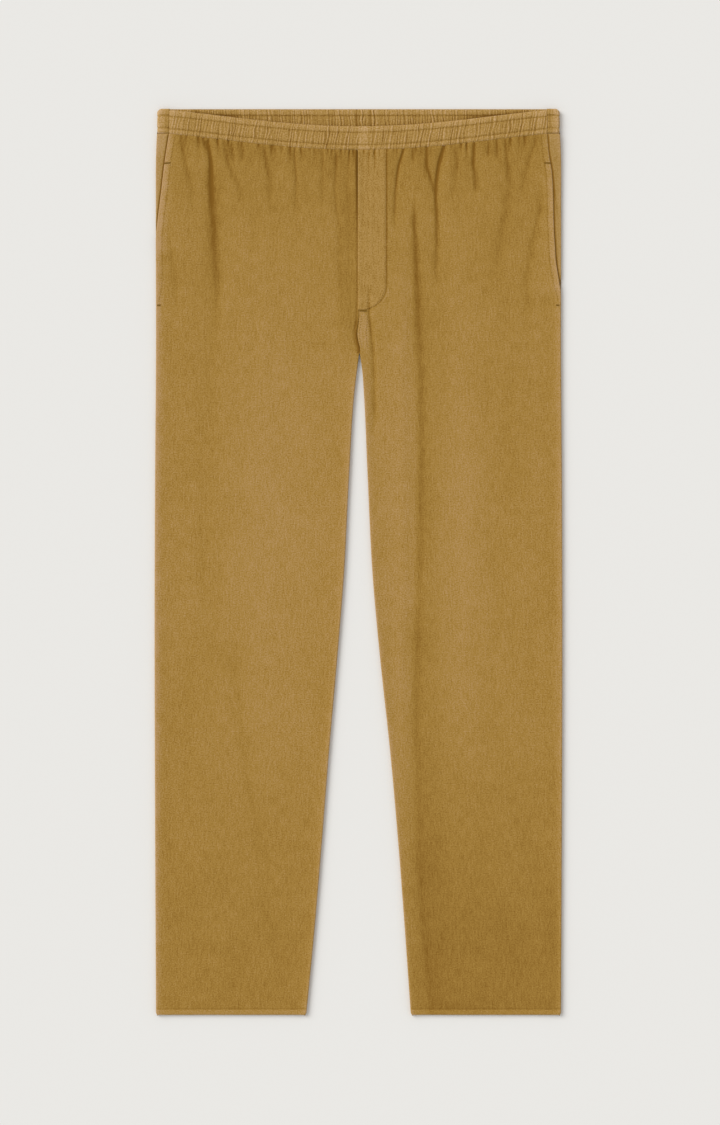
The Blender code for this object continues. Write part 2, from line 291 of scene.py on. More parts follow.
def inner_x(leg, y, bulge=0.0):
    """Distance of a leg's inner edge from X = 0: its inseam, and its centre seam above the crotch."""
    centre = HALF_SEAM + LEGS[leg] * (CENTRE_X - bulge)
    inseam = np.maximum(through(INSEAM[leg], y) + hem_corner(y), centre)
    return np.where(y < CROTCH_Y, inseam, centre)


ALLOWANCE = 1.2 * MM
TUCK = 1.6 * MM
BACK_SEAM_Z = 0.9 * MM


def into_band(flat_y):
    """1 where the top edge of a leg is tucked up inside the waistband, 0 below its seam."""
    return ease((flat_y - SIDE_WAIST_Y + TUCK) / TUCK)


def across_leg(inner, outer, inner_turn, outer_turn, middle, steps=7):
    """Distance from the middle and drop from the flat, over both turned edges and between them."""
    share = np.arange(steps + 1)[None, :] / steps
    inset_in, drop_in = turned(share, *inner_turn)
    inset_out, drop_out = turned(share, *outer_turn)
    first = inner + inset_in[:, -1:]
    last = outer - inset_out[:, -1:]
    between = first + (last - first) * middle[None, :]
    distance = np.concatenate([inner + inset_in, between, (outer - inset_out)[:, ::-1]], axis=1)
    drop = np.concatenate([drop_in, np.zeros_like(between), drop_out[:, ::-1]], axis=1)
    return distance, drop


def up_leg(low, high, places, steps, low_turn, high_turn):
    """Flat height and drop of each row, over the turned hem and waist edges and between them."""
    share = np.arange(steps + 1) / steps
    inset_low, drop_low = turned(share, *low_turn)
    inset_high, drop_high = turned(share, *high_turn)
    first, last = low + inset_low[-1], high - inset_high[-1]
    between = places[(places > first + 0.5 * MM) & (places < last - 0.5 * MM)]
    heights = np.concatenate([low + inset_low, between, (high - inset_high)[::-1]])
    drop = np.concatenate([drop_low, 0 * between, drop_high[::-1]])
    return heights[:, None], drop[:, None]


def row_places(steps):
    """Heights between the hem and the waist, a step apart that changes on the way: (height, step)."""
    heights = [HEM_Y]
    levels, sizes = zip(*steps)
    while heights[-1] < SIDE_WAIST_Y:
        heights.append(heights[-1] + float(np.interp(heights[-1], levels, sizes)))
    return np.array(heights)


# How far round an edge of a leg is turned where it starts, and its radius: folded at the side seams
# and inseams, nearly flat along the centre seams.
SEAM_START = radians(-35)
CENTRE_START = radians(15)
HEM_START = radians(-50)
EDGE_RADIUS = 1.5 * MM
SEAM_RADIUS = 0.9 * MM


def crotch_turn(y):
    """1 along the inseam, where the edges are folded round, 0 along the flat centre seam."""
    return ease((CROTCH_Y + 2 * MM - y) / (45 * MM))


def inseam_turn(y):
    """(radius, start) of a leg's inner edge at each height."""
    folded = crotch_turn(y)
    radius = SEAM_RADIUS + (EDGE_RADIUS - SEAM_RADIUS) * folded
    return radius, CENTRE_START + (SEAM_START - CENTRE_START) * folded


def crease(x, y, route, depth, head, foot, tail, core_only=False):
    """A trough down a route of (height, x) points, head wide at its top and foot wide at its bottom; with
    core_only, just its narrow core, for painted shade.
    """
    heights = [point[0] for point in route]
    low, high = min(heights), max(heights)
    down = np.clip((high - y) / (high - low + tail), 0, 1)
    across = (x - through(route, y)) / (head + (foot - head) * down)
    start = max(6 * abs(head), 36 * MM if high < 0.455 else 0)
    fade = ease((y - low + tail) / tail) * ease((high + start - y) / start)
    valley = 0.75 * np.exp(-1.6 * (np.sqrt(across ** 2 + 0.2) - 0.447)) + 0.25 * hill(across / 4)
    core = 1.5 * hill(across / 0.8) * (1 - down) ** 1.5 * (abs(depth) / (3 * MM)) ** 1.3
    return -fade * depth * (core if core_only else (1 - 0.6 * down) * valley)


BACK_COLUMNS = np.linspace(0, 1, 62)[1:-1]
BACK_ROWS = row_places(((HEM_Y, 1.2 * MM), (HEM_Y + 0.014, 1.2 * MM), (-0.47, 7 * MM),
                        (0.3, 7 * MM), (0.44, 2.2 * MM), (0.5, 1.6 * MM)))
# The (Y, X) routes of the soft creases on the back, and the depth, half widths and tail of each.
BACK_CREASES = {
    "right": (
        ((0.47, -0.172), (0.36, -0.166), (0.18, -0.16)),
        ((0.47, -0.11), (0.4, -0.104), (0.33, -0.107)),
        ((0.47, -0.052), (0.4, -0.056), (0.29, -0.05)),
        ((-0.1, -0.14), (-0.33, -0.118), (-0.49, -0.095)),
    ),
    "left": (
        ((0.47, 0.166), (0.37, 0.16), (0.22, 0.163)),
        ((0.47, 0.097), (0.41, 0.102), (0.31, 0.098)),
        ((0.47, 0.045), (0.39, 0.049), (0.27, 0.047)),
        ((0.05, 0.12), (-0.2, 0.118), (-0.44, 0.13)),
    ),
}
BACK_CREASE_SIZE = (0.8 * MM, 4 * MM, 9 * MM, 60 * MM)
BACK_GATHERS = 0.3 * MM
BACK_GATHER_PITCH = 8.7 * MM
HEM_GROOVE = 0.2 * MM
FLAT_RIM = 10 * MM

for leg, side in LEGS.items():
    flat_y, end_drop = up_leg(HEM_Y, SIDE_WAIST_Y, BACK_ROWS, 5, (0.9 * MM, HEM_START), (0.8 * MM, 0.0))
    inner, outer = inner_x(leg, flat_y), outer_x(flat_y)
    outer_turn = (EDGE_RADIUS + 0 * flat_y, SEAM_START + 0 * flat_y)
    distance, drop = across_leg(inner, outer, inseam_turn(flat_y), outer_turn, BACK_COLUMNS)
    x, y = side * distance, flat_y + 0 * distance
    below_waist = np.exp(-(SIDE_WAIST_Y - y) / (16 * MM))
    gathers = 1 + np.sin(2 * pi * x / BACK_GATHER_PITCH + 2.2 * uneven(x, 61 * MM))
    hollow = BACK_GATHERS * below_waist * gathers
    for route in BACK_CREASES[leg]:
        hollow = hollow + np.maximum(-crease(x, y, route, *BACK_CREASE_SIZE), 0)
    hollow = hollow + HEM_GROOVE * hill((y - HEM_STITCH_Y) / (0.7 * MM))
    z = drop + end_drop + hollow * ease(np.minimum(outer - distance, distance - inner) / FLAT_RIM)
    tucked = into_band(flat_y)
    z = z + np.maximum(BACK_SEAM_Z - z, 0) * tucked
    place = np.stack([x, y + ALLOWANCE * tucked, z], axis=-1)
    # Painted shade in the hollows and painted highlight on the ridges, with pale wear where the edges turn
    # down.
    wear_and_shading = 0.6 * relief_of(-z, (4, 4), 0.35 * MM) + 0.4 * np.clip(drop / EDGE_RADIUS, 0, 1)
    if side > 0:
        place, wear_and_shading = place[:, ::-1], wear_and_shading[:, ::-1]
    piece = lay_cloth(f"back_{leg}", place, cut_of(place), wear_and_shading)
    sewn_in(piece, f"back_{leg}_leg", leg_twill)

# ---- The pocket facings ----
# A strip of the same twill behind each slanted pocket mouth. It turns over the outer edge to the
# side seam, and runs in under the front.

# The mouths: (Y, distance from the middle)
MOUTH = {
    "right": ((0.4822, 0.2135), (0.449, 0.2185), (0.419, 0.222), (0.391, 0.2255), (0.362, 0.2285)),
    "left": ((0.4822, 0.2126), (0.458, 0.2148), (0.441, 0.2176), (0.419, 0.219), (0.376, 0.2201),
             (0.357, 0.2212), (0.338, 0.2225), (0.3175, 0.2257), (0.306, 0.2274), (0.295, 0.2285)),
}
MOUTH_FOOT_Y = {"right": 0.332, "left": 0.292}
MOUTH_TURN = {"right": 32 * MM, "left": 20 * MM}
POCKET_FOOT_Y = 0.290
SIDE_SEAM_Z = 2.5 * MM
FRONT_SEAM_Z = 5.65 * MM
FRONT_DROP = 19 * MM
HALF_WAIST = 226.5 * MM


def side_turn(leg, y):
    """1 where the front is folded round to the side seam, 0 along the open pocket mouth."""
    return 1 - ease((y - MOUTH_FOOT_Y[leg]) / MOUTH_TURN[leg])


def waist_seam_y(x):
    share = np.minimum(np.abs(x) / HALF_WAIST, 1.0)
    return SIDE_WAIST_Y - FRONT_DROP * np.cos(share * pi / 2) ** 1.3


FACING_COLOURS = {
    "deep_and_painted_shade": (0.235, 0.112, 0.012),
    "dyed": (0.4, 0.238, 0.062),
    "worn_and_painted_light": (0.515, 0.325, 0.155),
}
# The left facing is painted darker as if in shade, the right one a little paler.
FACING_SHADING = {"right": 0.15, "left": -0.10}
FACING_CLOTH = 0.7 * MM
FACING_RADIUS = 0.85 * MM
FACING_RUN = 26 * MM
FACING_LIFT = 2.1 * MM
TUCKED_Z = 2.5 * MM
facing_twill = dyed_twill("facing_twill", FACING_COLOURS)


def facing_wear_and_shade(leg, distance, y, edge, mouth):
    """Pale at the outer edge and the top, with painted shade beside the mouth and in one crumple on the
    left, and the left facing painted darker overall as lying in shade.
    """
    wear_and_shading = FACING_SHADING[leg] + 0.75 * np.exp(-(edge - distance) / (2.5 * MM))
    wear_and_shading = wear_and_shading - 2.2 * ease((mouth + 2.4 * MM - distance) / (2.2 * MM))
    wear_and_shading = wear_and_shading + 0.25 * ease((y - 0.45) / (20 * MM))
    if leg == "left":
        crumple = hill((distance - 0.2183 - 0.114 * (0.441 - y)) / (0.7 * MM))
        wear_and_shading = wear_and_shading - 1.3 * crumple * ease((0.443 - y) / (4 * MM)) * ease((y - 0.385) / (40 * MM))
    return wear_and_shading


for leg, side in LEGS.items():
    flat_y = np.linspace(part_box(f"pocket_facing_{leg}")[0].y, SIDE_WAIST_Y, 120)[:, None]
    hidden = side_turn(leg, flat_y - 10 * MM)
    start = SEAM_START * (1 - hidden)
    share = np.arange(9)[None, :] / 8
    inset, drop = turned(share, FACING_RADIUS, start)
    edge = outer_x(flat_y) - 6 * MM * hidden
    first = edge - FACING_RADIUS
    mouth = np.minimum(through(MOUTH[leg], flat_y), first - 1 * MM)
    inward = first + (mouth - FACING_RUN - first) * np.linspace(0, 1, 40)[None, 1:]
    distance = np.concatenate([edge - inset, inward], axis=1)
    drop = np.concatenate([drop, 0 * inward], axis=1)
    lift = FACING_LIFT * np.exp(-(SIDE_WAIST_Y - flat_y) / (40 * MM))
    turn_height = FACING_RADIUS * (1 - np.sin(SEAM_START))
    top = SIDE_SEAM_Z + turn_height + lift
    under = ease((mouth + 2.5 * MM - distance) / (8 * MM))
    z = top + (TUCKED_Z - top) * np.maximum(under, hidden)
    z = z - drop * (1 - 0.7 * hidden) * (turn_height + lift) / turn_height
    tucked = into_band(flat_y)
    z = z - np.maximum(z - FRONT_SEAM_Z, 0) * tucked
    x = side * (distance - 0.9 * MM * tucked)
    dip = SIDE_WAIST_Y - waist_seam_y(np.minimum(distance, 213 * MM))
    y = flat_y - dip * ease((flat_y - 0.44) / (40 * MM)) + ALLOWANCE * tucked
    place = np.stack([x, y, z], axis=-1)
    wear_and_shading = facing_wear_and_shade(leg, distance, y, edge, mouth)
    if side > 0:
        place, wear_and_shading = place[:, ::-1], wear_and_shading[:, ::-1]
    piece = lay_cloth(f"pocket_facing_{leg}_cloth", place, cut_of(place), wear_and_shading, FACING_CLOTH)
    node = f"pocket_facing_{leg}"
    sewn_in(piece, node, facing_twill)

# ---- The fronts ----
# The two front legs lie on the backs. Below the waist seam the elastic gathers them into pleats,
# the longest of which run on down the legs. The left one is padded out by the fly beneath it.

LEG_Z = 3.9 * MM
REST_Z = 2.3 * MM
EDGE_Z = 4.9 * MM
WAIST_Z = 6.1 * MM
MOUTH_Z = 5.3 * MM
FRONT_ROWS = row_places((
    (HEM_Y, 1.0 * MM), (HEM_Y + 0.014, 1.0 * MM), (-0.47, 7.5 * MM), (0.16, 7.5 * MM),
    (0.225, 1.8 * MM), (0.29, 1.8 * MM), (0.32, 2.8 * MM), (0.43, 2.6 * MM),
    (0.455, 1.1 * MM), (0.475, 1.1 * MM), (0.478, 0.7 * MM), (0.5, 0.7 * MM),
))
FRONT_HEM_GROOVE = 0.18 * MM
SHARP_AT = {"right": (0.1668, 0.0715), "left": (0.0455, 0.089, 0.13)}
# Each crease: its depth (a ridge's is negative), its half widths at its head and foot and its tail,
# all in mm, then the (Y, X) route down it.
CREASES = {
    "right": (
        (3, 1, 2.6, 35, ((0.472, -0.1696), (0.452, -0.1665), (0.43, -0.1659), (0.418, -0.1655))),
        (2.2, 3.6, 8, 80, ((0.425, -0.1658), (0.405, -0.165), (0.368, -0.1634), (0.32, -0.1605))),
        (0.9, 12, 18, 160, ((0.38, -0.164), (0.2, -0.168), (0.05, -0.17), (-0.088, -0.17))),
        (2.2, 0.9, 1.5, 6, ((0.479, -0.175), (0.474, -0.1742), (0.467, -0.173))),
        (0.8, 1.6, 5, 35, ((0.48, -0.2), (0.464, -0.198), (0.44, -0.193), (0.414, -0.187))),
        (0.9, 1.6, 5, 25, ((0.47, -0.151), (0.45, -0.147), (0.42, -0.133))),
        (1.4, 1, 2.5, 12, ((0.469, -0.1425), (0.458, -0.1415))),
        (1.3, 1, 2.5, 12, ((0.47, -0.131), (0.456, -0.131))),
        (0.9, 1.8, 6, 40, ((0.466, -0.106), (0.452, -0.1045), (0.436, -0.101), (0.422, -0.0998))),
        (1.2, 1, 4.5, 40, ((0.464, -0.072), (0.447, -0.0715), (0.425, -0.0702), (0.418, -0.0706))),
        (0.7, 1.5, 5, 40, ((0.463, -0.04), (0.436, -0.041), (0.419, -0.041))),
        (1.2, 2.2, 6, 50, ((0.455, -0.025), (0.42, -0.0262), (0.374, -0.0225), (0.33, -0.0215))),
        (1.2, 8, 9, 50, ((0.43, -0.012), (0.33, -0.0095), (0.258, -0.0078))),
        (0.5, 3, 6, 40, ((0.36, -0.2125), (0.31, -0.2055))),
        (1.6, 1.4, 2, 6, ((0.272, -0.0022), (0.262, -0.0045), (0.251, -0.0042), (0.24, -0.0012))),
        (0.6, 12, 18, 20, ((-0.125, -0.14), (-0.223, -0.128), (-0.313, -0.113),
                               (-0.403, -0.102), (-0.493, -0.077))),
        (0.4, 14, 22, 90, ((-0.15, -0.19), (-0.3, -0.196), (-0.42, -0.19))),
        (-0.5, 24, 34, 160, ((0.25, -0.108), (0.05, -0.112), (-0.17, -0.1))),
    ),
    "left": (
        (2.1, 1, 3.5, 30, ((0.463, 0.0504), (0.445, 0.0451), (0.421, 0.042), (0.396, 0.0408))),
        (1.4, 1, 2.5, 12, ((0.465, 0.0616), (0.455, 0.0612))),
        (1.8, 2, 2.4, 8, ((0.444, 0.0768), (0.4315, 0.0812), (0.4175, 0.0858))),
        (2.9, 1.1, 4.5, 45, ((0.467, 0.096), (0.4485, 0.0907), (0.427, 0.0876),
                             (0.411, 0.087), (0.386, 0.0882), (0.34, 0.0876))),
        (1.6, 2.4, 5, 80, ((0.378, 0.0629), (0.368, 0.0637), (0.33, 0.065), (0.29, 0.0659))),
        (1, 5, 9, 90, ((0.33, 0.0655), (0.182, 0.0705), (0.000, 0.069), (-0.155, 0.065))),
        (0.8, 9, 13, 20, ((-0.09, 0.066), (-0.268, 0.068), (-0.38, 0.071),
                              (-0.437, 0.076), (-0.5, 0.082))),
        (0.5, 20, 26, 90, ((0.32, 0.086), (0.000, 0.086), (-0.4, 0.092))),
        (-0.7, 9, 13, 120, ((0.3, 0.048), (0.1, 0.05), (-0.2, 0.05), (-0.42, 0.064))),
        (-0.4, 22, 30, 160, ((0.2, 0.122), (0.000, 0.124), (-0.18, 0.126))),
        (0.8, 1.6, 6, 35, ((0.468, 0.109), (0.447, 0.11), (0.415, 0.106))),
        (1.9, 1, 4, 25, ((0.469, 0.13), (0.447, 0.1293), (0.43, 0.1318))),
        (1.4, 1, 2.5, 12, ((0.471, 0.1466), (0.462, 0.146))),
        (1.5, 1, 2.5, 14, ((0.472, 0.156), (0.461, 0.1562))),
        (1.2, 0.9, 2, 16, ((0.474, 0.1655), (0.453, 0.1668), (0.438, 0.1685))),
        (0.8, 6, 10, 60, ((0.428, 0.1705), (0.381, 0.163), (0.345, 0.156))),
        (0.7, 1.8, 6, 25, ((0.472, 0.199), (0.455, 0.193), (0.425, 0.1855))),
        (1, 4.2, 8, 55, ((0.396, 0.204), (0.352, 0.195), (0.318, 0.189))),
        (1.7, 1.7, 4.5, 60, ((0.278, 0.0118), (0.262, 0.0138), (0.251, 0.015), (0.221, 0.0168),
                             (0.182, 0.0178))),
    ),
}
gathering = np.random.default_rng(7)


def seam_bulge(y):
    """How far the centre front seam is pushed over to the right leg just above the crotch."""
    return 2.3 * MM * hill((y - 0.257) / (12 * MM)) - 1.0 * MM * hill((y - 0.2405) / (6 * MM))


def front_columns(leg):
    """Shares of the way across a front, closer together at its seam and at its sharpest pleats."""
    share = np.linspace(0, 1, 2000)
    crowding = 1 + 1.9 * (share < 0.19)
    for at in SHARP_AT[leg]:
        crowding = crowding + 1.6 * hill((share - at / HALF_WAIST) / 0.022)
    reached = np.cumsum(crowding)
    return np.interp(np.linspace(reached[0], reached[-1], 168)[1:-1], reached, share)


def small_gathers(side):
    """Short pleats all along the waist seam: (x, depth, half width, length, lean) of each."""
    at = 6 * MM
    while at < 0.205:
        yield (
            side * at,
            gathering.uniform(0.3, 1.0) ** 2 * 2.1 * MM,
            gathering.uniform(0.8, 1.3) * MM,
            gathering.uniform(3, 9) * MM,
            gathering.uniform(-0.16, 0.1) * side,
        )
        at += gathering.uniform(2.8, 7.0) * MM


def clear_of_creases(leg, x):
    """Whether a place on the waist seam has no longer crease starting beside it."""
    heads = [route[0][1] for *sizes, route in CREASES[leg] if route[0][0] > 0.455]
    return min(abs(x - head) for head in heads) > 3.5 * MM


# A crease's dark core is painted shade.
SOFT = 4  # mm of half width from which a crease has no dark core
GATHERS = {
    leg: [gather for gather in small_gathers(side) if clear_of_creases(leg, gather[0])]
    for leg, side in LEGS.items()
}
FLY_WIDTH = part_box("fly")[1].x
FLY_FOOT_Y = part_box("fly")[0].y
FLY_CURVE_Y = FLY_FOOT_Y + 27 * MM
FLY_BED = 1.1 * MM


def fly_edge_x(y):
    """The stitched edge of the fly: straight down, then curving in to its foot."""
    fall = np.clip((FLY_CURVE_Y - y) / (FLY_CURVE_Y - FLY_FOOT_Y), 0, 1)
    return 3 * MM + (FLY_WIDTH - 3 * MM) * np.sqrt(1 - fall ** 2)


def hem_fold(x, y):
    """The hem's stitched line, 7 mm up, with the small slanting puckers its seam pulls in."""
    line = hill((y - HEM_STITCH_Y) / (0.7 * MM))
    puckers = np.sin(2 * pi * (x + 0.7 * (y - HEM_Y)) / (5.1 * MM) + 1.5 * uneven(x, 43 * MM))
    band = ease((HEM_Y + 7.5 * MM - y) / (2.0 * MM)) + 0.5 * hill((y - HEM_Y - 9 * MM) / (3 * MM))
    doubled = 0.12 * MM * ease((HEM_Y + 6.5 * MM - y) / (1 * MM))
    return -FRONT_HEM_GROOVE * line + 0.06 * MM * puckers * band + doubled


def pleats(leg, x, y, core_only=False):
    """Depth (-) or height (+) of a front's creases and of its short gathers at the waist; with core_only,
    the narrow cores that are painted in as shade.
    """
    down = np.maximum(waist_seam_y(x) - y, 0)
    folds = 0 * x * y
    for depth, head, foot, tail, route in CREASES[leg]:
        if head < SOFT or not core_only:
            folds = folds + crease(x, y, route, depth * MM, head * MM, foot * MM, tail * MM, core_only)
    for at, depth, half_width, length, lean in GATHERS[leg]:
        across = (x - at - lean * down) / (half_width * (1 + 0.7 * down / length))
        folds = folds - depth * hill(across) * np.exp(-down / length) * (1.2 if core_only else 1.0)
    return folds


def front_level(leg, x, y):
    """Height of a front's face: how it lies on the back, its pleats and its creases."""
    side = LEGS[leg]
    down = np.maximum(waist_seam_y(x) - y, 0)
    outer = outer_x(y) - side * x
    inner = side * x - inner_x(leg, y)
    waist = np.exp(-down / (52 * MM))
    level = LEG_Z + (WAIST_Z - LEG_Z) * waist
    inseam = crotch_turn(y)
    rim = np.exp(-np.maximum(outer, 0) / (7 * MM)) * side_turn(leg, y)
    rim = np.maximum(rim, np.exp(-np.maximum(inner, 0) / (7 * MM)) * inseam)
    level = level + np.maximum(EDGE_Z - level, 0) * rim
    open_mouth = (1 - side_turn(leg, y)) * np.exp(-np.maximum(outer, 0) / (24 * MM))
    level = level + (MOUTH_Z - level) * open_mouth
    folds = 0.15 * MM * uneven(x + 0.12 * y, 92 * MM, 1.3 * side) * uneven(y, 0.47, 0.4)
    folds = folds + 0.08 * MM * uneven(x - 0.1 * y, 37 * MM, side) * uneven(y + 0.3 * x, 0.31, 2.1)
    folds = folds + pleats(leg, x, y)
    at_edges = ease(outer / (9 * MM)) * (1 - inseam * (1 - ease(inner / (9 * MM))))
    folds = folds * at_edges
    room = level - REST_Z
    sunk = REST_Z + room * np.exp(np.minimum(folds, 0) / room) + np.maximum(folds, 0)
    return sunk + hem_fold(x, y)


# The left leg's longest fold, which is shaded on its far side: (Y, X)
LONG_FOLD = ((0.42, 0.059), (0.351, 0.065), (0.182, 0.071), (0.000, 0.069), (-0.155, 0.065),
             (-0.268, 0.068), (-0.38, 0.071), (-0.5, 0.082))


def broad_shade_and_tone(x, y):
    """Broad tone, darker (-) below the waist, down the lower legs and towards the outer thighs and paler
    (+) on the thighs, with painted shade beside the creases, beside the fly and on the far side of the long
    fold, and painted highlights on broad ridges.
    """
    down = np.maximum(waist_seam_y(x) - y, 0)
    hips = -0.42 * np.exp(-down / (60 * MM))
    low = -0.26 * ease((-0.12 - y) / 0.42) * (1 + 0.9 * ease((x + 0.05) / 0.2))
    thigh = 0.1 * hill((y - 0.08) / 0.24)
    ridges = 0.18 * hill((x + 0.095) / 0.05) * hill((y - 0.02) / 0.26)
    ridges = ridges + 0.26 * hill((x - 0.112) / 0.026) * hill((y - 0.02) / 0.24)
    ridges = ridges + 0.2 * hill((x - 0.042) / 0.016) * ease((0.33 - y) / 0.15)
    outer = -0.14 * hill((np.abs(x) - 0.175) / 0.03) * hill((y - 0.15) / 0.2)
    outer = outer - 0.18 * hill((x - 0.172 + 0.35 * (0.4 - y)) / 0.018) * hill((y - 0.37) / 0.06)
    pleat = -0.3 * hill((x + 0.1625) / (10 * MM)) * ease((0.46 - y) / 0.04) * ease((y - 0.28) / 0.08)
    by_fly = -0.28 * ease((x + 0.026) / (7 * MM)) * (x < 0)
    by_fly = by_fly * ease((0.45 - y) / 0.05) * ease((y - 0.24) / 0.03)
    across = x - through(LONG_FOLD, y)
    shaded = ease((across + 8 * MM) / (9 * MM)) * np.exp(-np.maximum(across, 0) / (22 * MM))
    shaded = -0.42 * shaded * ease((0.4 - y) / 0.12)
    return hips + low + thigh + ridges + outer + pleat + by_fly + shaded * (x > 0)


def fly_cover(x, y):
    """1 under the fly and 0 beyond its stitched edge."""
    return ease((fly_edge_x(y) - 0.3 * MM - x) / (1.6 * MM)) * ease((y - FLY_FOOT_Y) / (2 * MM))


EDGE_WEAR = {"right": 1.4, "left": 0.66}
TOPSTITCH = 7 * MM


def edge_wear_and_stitch_shade(leg, y, to_mouth, to_inseam, inner_edge, outer_edge):
    """Pale where the side, inseam and hem edges rub, with painted shade in the pocket's and hem's stitched
    lines.
    """
    rubbed = 5.0 * MM + 2.5 * MM * hill((y - 0.37) / 0.07)
    wear_and_shading = EDGE_WEAR[leg] * np.exp(-to_mouth / rubbed) * (0.8 + 0.2 * uneven(y, 38 * MM))
    wear_and_shading = wear_and_shading + 0.7 * inner_edge * np.exp(-to_inseam / (3.0 * MM))
    wear_and_shading = wear_and_shading + 0.42 * ease((HEM_Y + 6.3 * MM - y) / (1 * MM))
    wear_and_shading = wear_and_shading - 0.22 * hill((y - HEM_STITCH_Y - 0.2 * MM) / (0.8 * MM))
    wear_and_shading = wear_and_shading + 0.25 * (1 - outer_edge) * ease((8 * MM - to_mouth) / (2 * MM))
    topstitch = hill((to_mouth - TOPSTITCH * ease((y - 0.27) / 0.05)) / (0.7 * MM))
    return wear_and_shading - 0.4 * topstitch * ease((y - 0.28) / 0.01)


def centre_wear_and_shade(leg, x, y, bulge, opening):
    """Painted shade in the grooves along the fly and the centre seam and in the hollow above the crotch,
    pale on the stitched strip beside it.
    """
    if leg == "left":
        strip = ease((y - 0.236) / 0.008) * ease((FLY_FOOT_Y - y) / 0.006)
        strip = strip * ease((12.5 * MM - x) / (3 * MM))
        outside = x - fly_edge_x(y)
        groove = hill((outside - 0.4 * MM) / (1.2 * MM)) * (0.8 + 0.25 * uneven(y, 7 * MM))
        lip = hill((outside - 2.6 * MM) / (0.9 * MM)) * ease((FLY_CURVE_Y - y) / 0.01)
        return 0.34 * strip - 1.3 * groove * (y > FLY_FOOT_Y) + 0.6 * lip * (y > FLY_FOOT_Y + 4 * MM)
    beside = x - CENTRE_X + bulge + 0.9 * MM
    above_crotch = ease((y - 0.2345) / 0.002)
    wear_and_shading = -(0.5 + 1.6 * opening) * hill((x + 1.5 * MM) / (1.4 * MM)) * ease((y - FLY_FOOT_Y) / 0.02)
    wear_and_shading = wear_and_shading - 0.9 * hill(beside / (2.0 * MM)) * ease((0.284 - y) / 0.03) * above_crotch
    return wear_and_shading - 2.6 * hill(beside / (1.1 * MM)) * ease((0.263 - y) / 0.024) * above_crotch


MOUTH_RADIUS = 1.0 * MM
LAP = 1.7 * MM

for leg, side in LEGS.items():
    flat_y, end_drop = up_leg(HEM_Y, SIDE_WAIST_Y, FRONT_ROWS, 6, (0.9 * MM, HEM_START), (0.45 * MM, 0.0))
    bulge = seam_bulge(flat_y)
    inner_edge, outer_edge = crotch_turn(flat_y), side_turn(leg, flat_y)
    outer_turn = (MOUTH_RADIUS + (EDGE_RADIUS - MOUTH_RADIUS) * outer_edge, SEAM_START * outer_edge)
    mouth = np.minimum(through(MOUTH[leg], flat_y), outer_x(flat_y))
    mouth = outer_x(flat_y) * outer_edge + mouth * (1 - outer_edge)
    outer = np.where(flat_y > POCKET_FOOT_Y, mouth, outer_x(flat_y))
    lapped = ease((flat_y - CROTCH_Y + 1 * MM) / (4 * MM)) * ease((FLY_FOOT_Y + 6 * MM - flat_y) / (4 * MM))
    inner = inner_x(leg, flat_y, bulge) - LAP * lapped * (leg == "right")
    distance, drop = across_leg(inner, outer, inseam_turn(flat_y), outer_turn, front_columns(leg))
    x = side * distance
    y = flat_y - (SIDE_WAIST_Y - waist_seam_y(x)) * ease((flat_y - 0.25) / (SIDE_WAIST_Y - 0.25))
    level = front_level(leg, x, y)
    folded = np.where(distance < (inner + outer) / 2, inner_edge, outer_edge)
    full_drop = EDGE_RADIUS * (1 - np.sin(SEAM_START))
    z = level - drop * (1 + folded * ((level - SIDE_SEAM_Z) / full_drop - 1)) - end_drop
    opening = ease((y - 0.36) / 0.09)
    if leg == "left":
        z = z - FLY_BED * fly_cover(x, y)
    else:
        z = z - (0.5 + 1.3 * opening) * MM * hill((x - 0.5 * MM) / (3.2 * MM)) * ease((y - 0.284) / 0.02)
        z = z - 0.95 * MM * lapped * ease((x - CENTRE_X + bulge + 1.6 * MM) / (2.0 * MM))
    tucked = into_band(flat_y)
    z = z - np.maximum(z - FRONT_SEAM_Z, 0) * tucked
    place = np.stack([x, y + ALLOWANCE * tucked, z], axis=-1)
    smooth = level - hem_fold(x, y)
    # Painted shade in the hollows and the creases' cores and painted highlight on the ridges, then the
    # broad tone and shade, pale wear on the turned edges, and the marks along the edges and the centre.
    wear_and_shading = 0.7 * relief_of(smooth, (5, 5), 0.8 * MM) + 0.42 * relief_of(smooth, (16, 9), 1.00 * MM)
    wear_and_shading = wear_and_shading + 0.7 * np.tanh(pleats(leg, x, y, True) / (1.8 * MM))
    wear_and_shading = wear_and_shading + broad_shade_and_tone(x, y) + 0.25 * np.clip(drop / (1.2 * MM), 0, 1)
    wear_and_shading = wear_and_shading + edge_wear_and_stitch_shade(leg, y, outer - distance, distance - inner, inner_edge, outer_edge)
    wear_and_shading = wear_and_shading + centre_wear_and_shade(leg, x, y, bulge, opening)
    if side < 0:
        place, wear_and_shading = place[:, ::-1], wear_and_shading[:, ::-1]
    piece = lay_cloth(f"front_{leg}", place, cut_of(place), wear_and_shading)
    sewn_in(piece, f"front_{leg}_leg", leg_twill)

# ---- The fly ----
# The left front's doubled edge, which laps over the right one. It is stitched down in a J from
# the waist to its foot, and its folded edge stands a little open at the top.

FLY_COLOURS = {
    "deep_and_painted_shade": (0.235, 0.108, 0.006),
    "dyed": (0.41, 0.24, 0.058),
    "worn_and_painted_light": (0.49, 0.298, 0.11),
}
FLY_LAP = 0.7 * MM
FLY_TOP_Y = waist_seam_y(0.0)
fly_twill = dyed_twill("fly_twill", FLY_COLOURS, 1.4)


